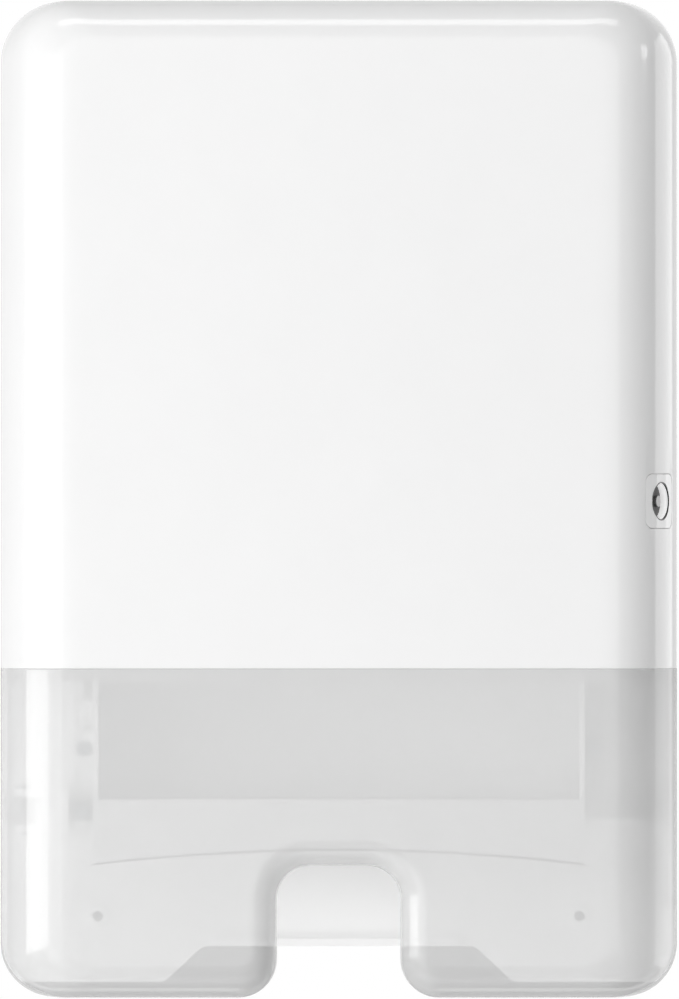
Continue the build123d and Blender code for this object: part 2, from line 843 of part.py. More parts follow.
def channel():
    """Open channel along the left guide's front edge, with two cross bars."""
    wall_x = -guide_outer - channel_width
    far_x = wall_x - channel_wall
    root_x = -guide_outer + guide_wall / 2
    back = guide_depth - channel_depth
    floor_face = outline([
        (far_x, channel_bottom + channel_slant, 0),
        (-guide_outer, channel_bottom, 0),
        (root_x, channel_bottom, 0),
        (root_x, guide_top, 0),
        (far_x, guide_top, 0),
    ])
    piece = front_prism(floor_face, back + channel_floor, back)
    piece += box(far_x, wall_x, -guide_depth, -back, channel_wall_bottom, guide_top)
    for level in channel_bar_heights:
        low = level - channel_bar / 2
        high = level + channel_bar / 2
        piece += box(wall_x, root_x, -guide_depth, -back, low, high)
    return piece


def dispensing_tray():
    """Chamber floor with its cheeks, front skirt with the arched lip, rear flange and tab."""
    floor_low = tray_floor_top - tray_floor
    cheek_top = tray_floor_top + tray_cheek_rise
    tray = box(-guide_outer, guide_outer, -tray_depth, -plate, floor_low, tray_floor_top)
    left_foot = Vector(-guide_outer, tray_lip_side)
    right_foot = Vector(guide_outer, tray_lip_side)
    left_top = Vector(-guide_outer, cheek_top)
    right_top = Vector(guide_outer, cheek_top)
    edges = [
        Edge.make_three_point_arc(left_foot, Vector(0, tray_lip_middle), right_foot),
        Edge.make_line(right_foot, right_top),
        Edge.make_line(right_top, left_top),
        Edge.make_line(left_top, left_foot),
    ]
    tray += front_prism(Face(Wire(edges)), tray_depth, tray_depth - tray_floor)
    cheek = outline([
        (-tray_depth, tray_lip_side, 0),
        (-plate, tray_cheek_rear, 0),
        (-plate, cheek_top, 0),
        (-tray_depth, cheek_top, 0),
    ])
    for start in (-guide_outer, guide_inner):
        placed = Plane.YZ.offset(start).location * cheek
        tray += Solid.extrude(placed, Vector(guide_wall, 0, 0))
    flange_front = -plate - guide_foot_thickness
    flange_half = tray_flange_half
    tray += box(-flange_half, flange_half, flange_front, -plate, tray_flange_bottom, floor_low)
    tray += box(-guide_outer - tab_length, -guide_inner, flange_front, -plate, tab_bottom, tab_top)
    tray -= slot_prism(throat_wall + orifice_fit, floor_low - over, cheek_top + over)
    return screw_holes(tray, "tray_screws")


def slot_prism(grow, low, high):
    """Upright solid of the dispensing slot, grown outwards on every side."""
    half = slot_length / 2 + grow
    near = -slot_centre - slot_width / 2 - grow
    far = -slot_centre + slot_width / 2 + grow
    return prism(rounded(-half, half, near, far, slot_r + grow), low, high)


def dispensing_orifice():
    """Rounded frame in the tray's slot; its flange lies on the tray's floor."""
    top = tray_floor_top + orifice_thickness
    low = tray_floor_top - throat_drop
    frame = slot_prism(throat_wall + orifice_flange, tray_floor_top, top)
    frame += slot_prism(throat_wall, low, top)
    frame -= slot_prism(0.0, low - over, top + over)
    rims = [edge for edge in frame.edges() if is_slot_rim(edge)]
    return fillet(rims, orifice_edge_r)


def is_slot_rim(edge):
    """Whether an edge of the frame is one of the level edges round the slot itself."""
    extent = edge.bounding_box()
    level = extent.size.Z < over
    within_x = max(extent.max.X, -extent.min.X) < slot_length / 2 + over
    within_y = abs(edge.center().Y + slot_centre) < slot_width / 2 + over
    return level and within_x and within_y


def latch_keeper():
    """Fork on the plate that carries the keeper pin between two arms."""
    half = keeper_slot / 2 + keeper_arm
    low = keeper_height - keeper_arm_drop
    high = keeper_height + keeper_arm_rise
    end = keeper_pin_y + keeper_arm_end
    foot_low = low - keeper_foot_reach
    foot_high = high + keeper_foot_reach
    foot_front = -plate - keeper_foot
    left = keeper_x - half
    right = keeper_x + half
    keeper = box(left, right, foot_front, -plate, foot_low, foot_high)
    keeper += box(left, right, -end, -plate, low, high)
    inner_left = left + keeper_arm
    inner_right = right - keeper_arm
    web_top = low + keeper_web
    keeper -= box(inner_left, inner_right, -end - over, foot_front, web_top, high + over)
    pin_hole = Rot(0, 90, 0) * Cylinder(keeper_pin_r + seat_fit, 2 * (half + over))
    keeper -= Pos(keeper_x, -keeper_pin_y, keeper_height) * pin_hole
    return screw_holes(keeper, "keeper_screws")


def keeper_pin():
    """Steel cross pin that the hook drops behind."""
    pin = Cylinder(keeper_pin_r, keeper_slot + 2 * keeper_arm)
    return Pos(keeper_x, -keeper_pin_y, keeper_height) * Rot(0, 90, 0) * pin


# --- Build every node ---
def main():
    """Model and write all nodes."""
    os.makedirs("parts", exist_ok=True)
    outer = form(0.0, cover_rear)
    middle = form(wall / 2, cover_rear)
    inner = form(wall, plate)
    save("back_plate", back_plate())
    save("left_guide", side_guide(-1))
    save("right_guide", side_guide(1))
    save("guide_screws", *base_screws("guide_screws"))
    save("dispensing_tray", dispensing_tray())
    save("tray_screws", *base_screws("tray_screws"))
    save("dispensing_orifice", dispensing_orifice())
    save("lower_hinge_pin", hinge_pin(hinge_lower))
    save("upper_hinge_pin", hinge_pin(hinge_upper))
    save("latch_keeper", latch_keeper())
    save("keeper_pin", keeper_pin())
    save("keeper_screws", *base_screws("keeper_screws"))
    save("cover_shell", cover_shell(outer, inner, middle))
    save("window", window(outer, inner, middle))
    save("window_screws", *[screw(seat, window_screw_length) for seat in window_screw_planes()])
    save("lock_housing", lock_housing(outer))
    save("lock_clip", lock_clip())
    save("latch_guide", latch_guide())
    save("latch_guide_screws", *latch_guide_screws())
    save("lock_barrel", lock_barrel())
    save("key_post", key_post())
    save("lock_cam", lock_cam())
    save("cam_screw", cam_screw())
    save("latch_bar", latch_bar())


main()
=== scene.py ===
"""Dress of the folded hand towel dispenser: smooth cover pieces, finishes and a plain studio.

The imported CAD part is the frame. The white cover and the grey window are drawn again as smooth
surfaces in place of their CAD nodes, every other node keeps its mesh and gets its own finish.
All lengths are metres in the frame of the part: +Z is up, the front faces -Y, the wall is Y = 0.
"""

import logging
from collections.abc import Sequence
from dataclasses import dataclass, field
from enum import Enum
from math import cos, pi, radians, sin

import bmesh
import bpy
import numpy as np
from bpy.types import Material, Node, NodeSocket, NodeTree, Object, World
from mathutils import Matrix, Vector


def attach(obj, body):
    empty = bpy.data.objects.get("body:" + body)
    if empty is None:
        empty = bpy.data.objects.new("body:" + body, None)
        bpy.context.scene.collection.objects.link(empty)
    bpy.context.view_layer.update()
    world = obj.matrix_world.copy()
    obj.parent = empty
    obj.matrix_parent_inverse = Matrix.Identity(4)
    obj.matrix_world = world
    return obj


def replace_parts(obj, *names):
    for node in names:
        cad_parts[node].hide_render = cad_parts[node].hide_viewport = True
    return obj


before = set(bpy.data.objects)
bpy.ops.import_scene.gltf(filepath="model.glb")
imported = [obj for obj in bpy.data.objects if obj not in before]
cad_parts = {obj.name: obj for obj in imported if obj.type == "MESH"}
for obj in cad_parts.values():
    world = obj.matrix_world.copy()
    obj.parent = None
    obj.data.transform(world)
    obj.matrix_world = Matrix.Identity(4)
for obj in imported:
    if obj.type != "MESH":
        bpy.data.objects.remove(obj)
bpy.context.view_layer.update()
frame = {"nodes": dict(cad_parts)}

log = logging.getLogger("towel_dispenser")

MERGE_DISTANCE = 1e-6
TINY = 1e-9
SHARP_ANGLE = radians(32)
BEVEL_ANGLE = radians(40)
BEVEL_SEGMENTS = 2
POINTS_IN_CORNER = 8
WHITE = (1.0, 1.0, 1.0, 1.0)
RIGHT, BACK, UP = Vector((1, 0, 0)), Vector((0, 1, 0)), Vector((0, 0, 1))


class Body(Enum):
    """Moving bodies of the dispenser that new pieces ride on."""

    BASE = "base"
    COVER = "cover"
    LOCK = "lock"


class Slot(Enum):
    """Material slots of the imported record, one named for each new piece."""

    WHITE_COVER = "white_cover"
    GREY_WINDOW = "grey_window"
    WHITE_LOCK = "white_lock"
    LOCK_METAL = "lock_metal"
    TRAY = "tray_plastic"


# --- Arrays and meshes ---
def grid_quads(rows: int, cols: int, closed: bool = False) -> np.ndarray:
    """Quads of a grid of points numbered row by row.

    Args:
        rows: Number of rows.
        cols: Number of points in a row.
        closed: Whether the last column joins the first.

    Returns:
        One row of four point numbers for each quad.
    """
    numbers = np.arange(rows * cols).reshape(rows, cols)
    if closed:
        numbers = np.concatenate([numbers, numbers[:, :1]], axis=1)
    corners = [numbers[:-1, :-1], numbers[1:, :-1], numbers[1:, 1:], numbers[:-1, 1:]]
    return np.stack(corners, axis=-1).reshape(-1, 4)


def arc(start: float, end: float, steps: int) -> tuple[np.ndarray, np.ndarray]:
    """Cosines and sines of evenly spaced angles, from a start to an end in degrees."""
    angles = np.radians(np.linspace(start, end, steps))
    return np.cos(angles), np.sin(angles)


def unit_circle(points: int) -> np.ndarray:
    """Evenly spaced points of a circle of radius 1, as rows of cosine and sine."""
    across, up = arc(0, 360, points + 1)
    return np.stack([across[:-1], up[:-1]], axis=1)


def rolled(behind: np.ndarray, radius: float) -> np.ndarray:
    """Inset of a quarter round at depths b: r less the root of r squared less (r - b) squared."""
    left = np.clip(radius - behind, 0.0, radius)
    return radius - np.sqrt(radius**2 - left**2)


def eased_arc(
    radius: float, turn: float, ease: float, rows: int
) -> tuple[np.ndarray, np.ndarray, np.ndarray]:
    """Section of a rolled edge that leaves the flat front softly.

    Its curvature grows evenly from nothing over the easing length, then stays constant until
    the turn is reached. That constant is found by halving, so that the edge falls as far as an
    arc of the radius would.

    Args:
        radius: Radius of the arc it stands for.
        turn: Angle from the front to its end.
        ease: Easing length along the section.
        rows: Number of points.

    Returns:
        Fall behind the front, distance across the front and angle of each point.
    """
    halvings, samples, sharpest = 50, 801, 4.0
    low, high = 1 / radius, sharpest / radius
    for _ in range(halvings):
        bend = (low + high) / 2
        path = np.linspace(0, turn / bend + ease / 2, samples)
        angle = bend * np.where(path < ease, path**2 / (2 * ease), path - ease / 2)
        middle = (angle[1:] + angle[:-1]) / 2
        fall = np.append(0.0, np.cumsum(np.sin(middle))) * path[1]
        if fall[-1] > radius * (1 - cos(turn)):
            low = bend
        else:
            high = bend
    across = np.append(0.0, np.cumsum(np.cos(middle))) * path[1]
    places = np.linspace(0, path[-1], rows)
    return tuple(np.interp(places, path, value) for value in (fall, across, angle))


def piece_of(name: str, points: np.ndarray, faces: Sequence[Sequence[int]]) -> Object:
    """Object at the origin of points and faces, doubles merged and normals turned outwards.

    Args:
        name: Name of the piece.
        points: One row of three coordinates for each point.
        faces: Point numbers of each face.

    Returns:
        The new object, in the scene.
    """
    mesh = bpy.data.meshes.new(name)
    mesh.from_pydata(points.tolist(), [], [list(map(int, face)) for face in faces])
    shape = bmesh.new()
    shape.from_mesh(mesh)
    bmesh.ops.remove_doubles(shape, verts=shape.verts, dist=MERGE_DISTANCE)
    loose = [vertex for vertex in shape.verts if not vertex.link_faces]
    bmesh.ops.delete(shape, geom=loose, context="VERTS")
    bmesh.ops.recalc_face_normals(shape, faces=shape.faces)
    shape.to_mesh(mesh)
    shape.free()
    piece = bpy.data.objects.new(name, mesh)
    bpy.context.scene.collection.objects.link(piece)
    return piece


def settle(piece: Object) -> None:
    """Make a piece's modifiers part of its mesh, then shade it smooth up to its sharp edges.

    Args:
        piece: Piece with its modifiers.
    """
    bpy.context.view_layer.update()
    graph = bpy.context.evaluated_depsgraph_get()
    done = bpy.data.meshes.new_from_object(piece.evaluated_get(graph), depsgraph=graph)
    piece.modifiers.clear()
    piece.data = done
    done.shade_smooth()
    done.set_sharp_from_angle(angle=SHARP_ANGLE)


def thicken(piece: Object, thickness: float) -> None:
    """Give a sheet a wall on its inner side.

    Args:
        piece: Piece whose faces point outwards.
        thickness: Wall thickness.
    """
    wall = piece.modifiers.new("wall", "SOLIDIFY")
    wall.thickness = thickness
    wall.offset = -1.0
    wall.use_even_offset = True
    wall.use_rim = True


def round_edges(piece: Object, width: float) -> None:
    """Round the sharp edges of a piece.

    Args:
        piece: Piece to round.
        width: Width of the rounding.
    """
    bevel = piece.modifiers.new("edges", "BEVEL")
    bevel.width = width
    bevel.segments = BEVEL_SEGMENTS
    bevel.limit_method = "ANGLE"
    bevel.angle_limit = BEVEL_ANGLE
    bevel.use_clamp_overlap = True


def cut_out(piece: Object, tool: Object) -> None:
    """Subtract a tool from a piece, and remove the tool.

    Args:
        piece: Piece that gets the hole.
        tool: Closed solid in the place of the hole.
    """
    hole = piece.modifiers.new("hole", "BOOLEAN")
    hole.operation = "DIFFERENCE"
    hole.solver = "EXACT"
    hole.object = tool
    settle(piece)
    mesh = tool.data
    bpy.data.objects.remove(tool)
    bpy.data.meshes.remove(mesh)


# --- Flat outlines and solids made from them ---
def rounded_outline(low: Vector, high: Vector, radius: float) -> np.ndarray:
    """Closed rounded rectangle, counter-clockwise from the lower right corner's arc.

    Each corner is a quarter circle about a point one radius in from both sides.

    Args:
        low: Lower left corner.
        high: Upper right corner.
        radius: Corner radius.

    Returns:
        One row of two coordinates for each point.
    """
    corners = (
        (high.x - radius, low.y + radius, -90),
        (high.x - radius, high.y - radius, 0),
        (low.x + radius, high.y - radius, 90),
        (low.x + radius, low.y + radius, 180),
    )
    arcs = []
    for x, y, start in corners:
        across, up = arc(start, start + 90, POINTS_IN_CORNER)
        arcs.append(np.stack([x + radius * across, y + radius * up], axis=1))
    return np.concatenate(arcs)


@dataclass(frozen=True)
class Place:
    """Flat working place: an origin and three directions, the third one being the height."""

    origin: Vector
    across: Vector
    up: Vector
    out: Vector

    def lift(self, flat: np.ndarray, height: float | np.ndarray) -> np.ndarray:
        """Points of a flat outline at a height over the place.

        Args:
            flat: One row of two coordinates for each point.
            height: Distance along the third direction, one for all points or one for each.

        Returns:
            The points in the part's frame.
        """
        axes = np.array([self.across, self.up])
        heights = np.broadcast_to(height, len(flat))
        return np.array(self.origin) + flat @ axes + np.outer(heights, self.out)


def ringed(rings: Sequence[np.ndarray]) -> tuple[np.ndarray, np.ndarray]:
    """Points and quads of the skin through equal rings, the last ring joining the first."""
    points = np.concatenate([*rings, rings[0]])
    return points, grid_quads(len(rings) + 1, len(rings[0]), closed=True)


def capped(rings: Sequence[np.ndarray]) -> tuple[np.ndarray, list[list[int]]]:
    """Closed skin through rings of equal length, with a flat face over the first and the last.

    Args:
        rings: Rings of points from one end to the other.

    Returns:
        The points and the faces.
    """
    count = len(rings[0])
    faces = grid_quads(len(rings), count, closed=True).tolist()
    last = (len(rings) - 1) * count
    faces.append(list(range(count)))
    faces.append(list(range(last + count - 1, last - 1, -1)))
    return np.concatenate(rings), faces


# --- Materials ---
def linear(hex_colour: str) -> tuple[float, float, float, float]:
    """Linear colour of an sRGB hex value.

    Args:
        hex_colour: Six hex digits.

    Returns:
        Linear red, green, blue and an alpha of 1.
    """
    shares = [int(hex_colour[i : i + 2], 16) / 255 for i in (0, 2, 4)]
    channels = [c / 12.92 if c <= 0.04045 else ((c + 0.055) / 1.055) ** 2.4 for c in shares]
    return (channels[0], channels[1], channels[2], 1.0)


@dataclass(frozen=True)
class Nodes:
    """Node tree of a material or of the surround, with the ways to fill it."""

    tree: NodeTree

    @classmethod
    def of(cls, owner: Material | World) -> "Nodes":
        """Empty the node tree of a material or world.

        Args:
            owner: The material or world.

        Returns:
            Its nodes, none so far.
        """
        owner.use_nodes = True
        owner.node_tree.nodes.clear()
        return cls(owner.node_tree)

    def add(
        self,
        kind: str,
        settings: dict[str, object] | None = None,
        inputs: dict[str, object] | None = None,
    ) -> Node:
        """Add a node with its settings, socket values and incoming links.

        Args:
            kind: Blender's node type.
            settings: Attributes of the node.
            inputs: Value of each input socket, or the output socket that feeds it.

        Returns:
            The new node.
        """
        node = self.tree.nodes.new(kind)
        for name, value in (settings or {}).items():
            setattr(node, name, value)
        for name, value in (inputs or {}).items():
            socket = node.inputs[int(name)] if name.isdigit() else node.inputs[name]
            if isinstance(value, NodeSocket):
                self.tree.links.new(value, socket)
            else:
                socket.default_value = value
        return node

    def noise(self, place: NodeSocket, size: float, detail: float) -> NodeSocket:
        """Noise pattern from 0 to 1 at a coordinate, with the size of its marks."""
        inputs = {"Vector": place, "Scale": 1 / size, "Detail": detail}
        return self.add("ShaderNodeTexNoise", inputs=inputs).outputs["Fac"]

    def between(self, share: NodeSocket, low: object, high: object) -> NodeSocket:
        """Value between two ends, the low one where the share is 0, the high one where it is 1."""
        inputs = {"Value": share, "To Min": low, "To Max": high}
        return self.add("ShaderNodeMapRange", inputs=inputs).outputs["Result"]

    def math(self, operation: str, first: object, second: object) -> NodeSocket:
        """Result of an operation on two values or sockets."""
        values = {"0": first, "1": second}
        return self.add("ShaderNodeMath", {"operation": operation}, values).outputs[0]

    def light_path(self) -> bpy.types.NodeOutputs:
        """Sockets that tell what kind of ray meets the surface."""
        return self.add("ShaderNodeLightPath").outputs


@dataclass(frozen=True)
class Finish:
    """What finishes have in common: two close colours and a roughness that a pattern varies."""

    name: str
    colour: str
    shade: str
    roughness: float

    def start(self) -> tuple[Material, Nodes, NodeSocket]:
        """Start the finish's material.

        Returns:
            The material, its nodes and the coordinate on the object.
        """
        material = bpy.data.materials.new(self.name)
        nodes = Nodes.of(material)
        return material, nodes, nodes.add("ShaderNodeTexCoord").outputs["Object"]

    def surface(
        self,
        nodes: Nodes,
        pattern: NodeSocket,
        unevenness: float,
        relief: dict[str, object],
        more: dict[str, object],
    ) -> Node:
        """Shader whose colour and roughness follow a pattern, with a relief.

        Args:
            nodes: Nodes of the material.
            pattern: Pattern from 0 to 1.
            unevenness: Share by which the roughness goes down and up.
            relief: Height and distance of the bump.
            more: Further values of the shader's sockets.

        Returns:
            The shader, linked to the material's output.
        """
        ends = {"0": pattern, "6": linear(self.shade), "7": linear(self.colour)}
        tint = nodes.add("ShaderNodeMix", {"data_type": "RGBA"}, ends)
        smooth, rough = self.roughness * (1 - unevenness), self.roughness * (1 + unevenness)
        sockets = {
            "Base Color": tint.outputs[2],
            "Roughness": nodes.between(pattern, smooth, rough),
            "Normal": nodes.add("ShaderNodeBump", inputs=relief).outputs["Normal"],
        }
        shader = nodes.add("ShaderNodeBsdfPrincipled", inputs=sockets | more)
        nodes.add("ShaderNodeOutputMaterial", inputs={"Surface": shader.outputs[0]})
        return shader


@dataclass(frozen=True)
class Plastic(Finish):
    """Moulded plastic: a faint mottle in the colour, and the fine grain of the mould."""

    ior: float = 1.5
    mottle_size: float = 0.030
    grain_size: float = 0.0008
    grain_depth: float = 0.000004
    unevenness: float = 0.15
    cover: float = 1.0
    cover_in_light: float = 1.0
    # Emission of a part that glows though it is no lamp: painted light.
    glow: float = 0.0

    def material(self) -> Material:
        """Build the node material.

        Returns:
            The material.
        """
        material, nodes, place = self.start()
        mottle = nodes.noise(place, self.mottle_size, 3.0)
        relief = {"Height": nodes.noise(place, self.grain_size, 2.0), "Distance": self.grain_depth}
        more = {"IOR": self.ior, "Emission Color": WHITE, "Emission Strength": self.glow}
        shader = self.surface(nodes, mottle, self.unevenness, relief, more)
        if self.cover < 1.0:
            self.clear(nodes, shader)
        return material

    def clear(self, nodes: Nodes, shader: Node) -> None:
        """Let the plastic show what is behind it.

        Hazy plastic scatters most light forwards: it lights what is behind it more than it
        lets it be seen, so its alpha is lower for light than for sight.

        Args:
            nodes: Nodes of the material.
            shader: Its shader.
        """
        path = nodes.light_path()
        light = nodes.math("MAXIMUM", path["Is Shadow Ray"], path["Is Diffuse Ray"])
        share = nodes.between(light, self.cover, self.cover_in_light)
        nodes.tree.links.new(share, shader.inputs["Alpha"])


@dataclass(frozen=True)
class Metal(Finish):
    """Worked metal: its colour, and fine marks drawn out along one direction."""

    mark_size: float = 0.0006
    mark_stretch: tuple[float, float, float] = (1.0, 1.0, 0.08)
    mark_depth: float = 0.000006
    unevenness: float = 0.3

    def material(self) -> Material:
        """Build the node material.

        Returns:
            The material.
        """
        material, nodes, place = self.start()
        stretch = {"Vector": place, "Scale": self.mark_stretch}
        drawn = nodes.add("ShaderNodeMapping", inputs=stretch).outputs[0]
        marks = nodes.noise(drawn, self.mark_size, 4.0)
        relief = {"Height": marks, "Distance": self.mark_depth}
        self.surface(nodes, marks, self.unevenness, relief, {"Metallic": 1.0})
        return material


# White ABS, moulded in a polished tool: deep gloss, a hardly visible mottle.
WHITE_ABS = Plastic("white_abs_polished", "F4F4F4", "F1F1F1", 0.14, ior=1.52)
# The same ABS on the inside of the lock insert, a little duller than the cover.
LOCK_ABS = Plastic("white_abs_satin", "FAFAFA", "F7F7F7", 0.20, ior=1.52)
# White sleeve of the key recess, with a glow that is painted light: it brightens the recess's
# wall, which lies in shade.
SLEEVE_PAINTED_LIGHT = Plastic("recess_sleeve_painted_light", "F8F8F8", "F2F2F2", 0.30, glow=0.42)
# Black acetal of the thin ring that lines the mouth of the key recess.
RING_ACETAL = Plastic("black_acetal", "262626", "202020", 0.35, ior=1.48)
# Smoke-grey transparent SAN, moulded glossy: the parts behind it show softly.
SMOKE_SAN = Plastic(
    "smoke_grey_san", "DCDCDC", "D9D9D9", 0.10, ior=1.57, cover=0.54, cover_in_light=0.05
)
# White polystyrene of the back plate, with the fine grain of a spark-eroded mould. Its faint
# glow stands for the light that the white cover lets through to it.
PLATE_PS = Plastic(
    "white_polystyrene", "FBFBFB", "F8F8F8", 0.42, grain_depth=0.00001, glow=0.06
)
# Polypropylene guides: slightly waxy and soft in their shine.
GUIDE_PP = Plastic("white_polypropylene", "F9F9F9", "F6F6F6", 0.36, ior=1.49)
# Tray: the same polypropylene, a shade greyer than the guides: painted shade that tones down the
# brightly lit skirt behind the window.
TRAY_PP = Plastic("tray_polypropylene", "E6E6E6", "E2E2E2", 0.30, ior=1.49)
# Dark grey of the tray's lip: painted shade along the lower edge of the skirt.
LIP_PAINTED_SHADE = Plastic("tray_lip_painted_shade", "9C9C9C", "929292", 0.40, ior=1.49)
# Acetal slides and keeper: dense, milky, a silky shine.
ACETAL = Plastic("milky_acetal", "E8E8E6", "DEDEDB", 0.28, ior=1.48)
# Zinc-plated steel pins and screws: bright grey with drawn marks.
ZINC_STEEL = Metal("zinc_plated_steel", "C9CCCF", "A9ADB1", 0.26)
# Spring steel of the lock's clip: darker, rolled.
SPRING_STEEL = Metal("blued_spring_steel", "8C9096", "6F7379", 0.34)
# Turned and nickel-plated zinc of the lock barrel, painted far darker than bright nickel: painted
# shade for the floor of the key recess.
NICKEL_PAINTED_SHADE = Metal("barrel_nickel_painted_shade", "5E5E5E", "424242", 0.34)
# Nickel on the key post, a darker grey than bright nickel: painted shade for the post deep in the
# recess.
POST_NICKEL_PAINTED_SHADE = Metal("key_post_nickel_painted_shade", "868686", "5A5A5A", 0.26, mark_depth=0.000004)
# Flat pale paint of the studio's floor.
FLOOR_PAINT = Plastic("pale_studio_floor", "EDEDED", "EAEAEA", 0.6, mottle_size=0.4)

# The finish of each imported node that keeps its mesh.
NODE_FINISHES = {
    PLATE_PS: ("back_plate",),
    GUIDE_PP: ("left_guide", "right_guide"),
    TRAY_PP: ("dispensing_tray",),
    ACETAL: ("dispensing_orifice", "latch_keeper", "latch_guide", "latch_bar"),
    LOCK_ABS: ("lock_housing",),
    SPRING_STEEL: ("lock_clip",),
    NICKEL_PAINTED_SHADE: ("lock_barrel",),
    POST_NICKEL_PAINTED_SHADE: ("key_post",),
    ZINC_STEEL: (
        "guide_screws", "tray_screws", "lower_hinge_pin", "upper_hinge_pin", "keeper_pin",
        "keeper_screws", "window_screws", "latch_guide_screws", "lock_cam", "cam_screw",
    ),
}


# --- What the white cover and the window share ---
SKIN_EDGE = 0.00018
SCREW_BORE_R = 0.00155
TAB_SCREWS_X = (-0.096, -0.034, 0.034, 0.096)
TAB_SCREW_Z = -0.0555


# --- The cover's form ---
@dataclass(frozen=True)
class CoverForm:
    """Outer form that the white cover and the window share: a flat front, rolled edges, flanks."""

    width: float = 0.302
    height: float = 0.444
    depth: float = 0.102
    rear: float = 0.0103
    flank_r: float = 0.070
    flank_turn: float = radians(30)
    front_roll_r: float = 0.025
    front_ease: float = 0.014
    top_roll_r: float = 0.019
    bottom_roll_r: float = 0.015
    top_corner_r: float = 0.028
    bottom_corner_r: float = 0.024
    front_corner_r: float = 0.012
    rows_in_roll: int = 32
    rows_in_flank: int = 16
    rows_in_side: int = 5
    columns_in_side: int = 14
    columns_in_corner: int = 20

    @property
    def bottom(self) -> float:
        """Height of the bottom edge in the frame."""
        return -self.height / 2

    @property
    def front_inset(self) -> float:
        """Distance from the side to the edge of the flat front."""
        return float(self.levels()[1][0])

    def levels(self, more: Sequence[float] = ()) -> tuple[np.ndarray, np.ndarray, np.ndarray]:
        """Sections of the form from the flat front to its rear edge.

        The side's plan is three stretches: an eased arc of the front roll's radius from the
        flat front to the flank's turn, an arc of the flank's radius to square, then a line.

        Args:
            more: Depths behind the front that must be among the sections.

        Returns:
            Depth behind the front, side inset and normal angle of each section.
        """
        fall, across, turned = eased_arc(
            self.front_roll_r, pi / 2 - self.flank_turn, self.front_ease, self.rows_in_roll
        )
        flank = np.linspace(self.flank_turn, 0.0, self.rows_in_flank)[1:]
        roll_depth = self.front_roll_r * (1 - sin(self.flank_turn))
        flank_inset = self.flank_r * (1 - cos(self.flank_turn))
        flank_fall = roll_depth + self.flank_r * (sin(self.flank_turn) - np.sin(flank))
        behind = np.concatenate([fall, flank_fall])
        roll_inset = flank_inset + across[-1] - across
        inset = np.concatenate([roll_inset, self.flank_r * (1 - np.cos(flank))])
        angle = np.concatenate([pi / 2 - turned, flank])
        side = np.linspace(behind[-1], self.depth - self.rear, self.rows_in_side)[1:]
        behind_all = np.sort(np.concatenate([behind, side, np.asarray(more)]))
        insets, angles = (np.interp(behind_all, behind, value) for value in (inset, angle))
        return behind_all, insets, angles

    def corner(self, side_r: float, inset: np.ndarray) -> np.ndarray:
        """Corner radius at a side inset: it shrinks evenly from the side to the flat front."""
        return side_r - (side_r - self.front_corner_r) * inset / self.front_inset

    def down_side(self, edge_row: float) -> np.ndarray:
        """Shares of the way from the split to a corner, with a row close to the split's edge."""
        return np.insert(np.linspace(0, 1, self.columns_in_side)[:-1], 1, edge_row)[None, :]

    def mirrored(
        self, x: Sequence[np.ndarray], z: Sequence[np.ndarray], behind: np.ndarray
    ) -> np.ndarray:
        """Grid of a skin from the stretches of its +X half.

        The other half is the first one with X turned round, from the middle back to the split.

        Args:
            x: X of each stretch, a row for each level.
            z: Z of each stretch.
            behind: Depth of each level behind the front.

        Returns:
            X, Y and Z for each level and column.
        """
        half_x, half_z = np.concatenate(x, axis=1), np.concatenate(z, axis=1)
        whole_x = np.concatenate([half_x, -half_x[:, -2::-1]], axis=1)
        whole_z = np.concatenate([half_z, half_z[:, -2::-1]], axis=1)
        y = np.broadcast_to((behind - self.depth)[:, None], whole_x.shape)
        return np.stack([whole_x, y, whole_z], axis=-1)

    def plan(self, offset: float) -> np.ndarray:
        """Half of the form's plan, moved inwards: from the rear edge of the side to the front.

        Each point of the plan moves by the offset against its normal.

        Args:
            offset: Distance inwards.

        Returns:
            One row of X and Y for each point, on the +X side.
        """
        behind, inset, angle = self.levels()
        x = self.width / 2 - inset - offset * np.cos(angle)
        y = behind + offset * np.sin(angle) - self.depth
        return np.stack([x, y], axis=1)[::-1]


@dataclass(frozen=True)
class LockPlace:
    """Where the lock stands in the right flank."""

    form: CoverForm
    height: float = -0.001
    turn: float = radians(26)

    @property
    def out(self) -> Vector:
        """Direction out of the flank."""
        return Vector((cos(self.turn), -sin(self.turn), 0.0))

    @property
    def along(self) -> Vector:
        """Direction along the flank to the rear."""
        return Vector((sin(self.turn), cos(self.turn), 0.0))

    @property
    def point(self) -> Vector:
        """Point of the flank on the lock's axis.

        Returns:
            The flank's centre of curvature, moved out by its radius.
        """
        form = self.form
        roll_depth = form.front_roll_r * (1 - sin(form.flank_turn))
        centre_y = roll_depth + form.flank_r * sin(form.flank_turn) - form.depth
        centre = Vector((form.width / 2 - form.flank_r, centre_y, self.height))
        return centre + self.out * form.flank_r

    @property
    def place(self) -> Place:
        """Working place on the flank, its height pointing outwards."""
        return Place(self.point, self.along, UP, self.out)

    def height_of(self, along: np.ndarray | float, offset: float) -> np.ndarray:
        """Height of the flank's curve over the working place.

        The plan of the form, moved inwards, is turned into the place's own two directions and
        read off at the wanted distances.

        Args:
            along: Distances along the flank from the lock's axis.
            offset: How far inside the form's surface the curve lies.

        Returns:
            The curve's heights, negative inwards.
        """
        plan = self.form.plan(offset)[::-1] - np.array(self.point)[:2]
        distances = plan @ np.array(self.along)[:2]
        return np.interp(along, distances, plan @ np.array(self.out)[:2])


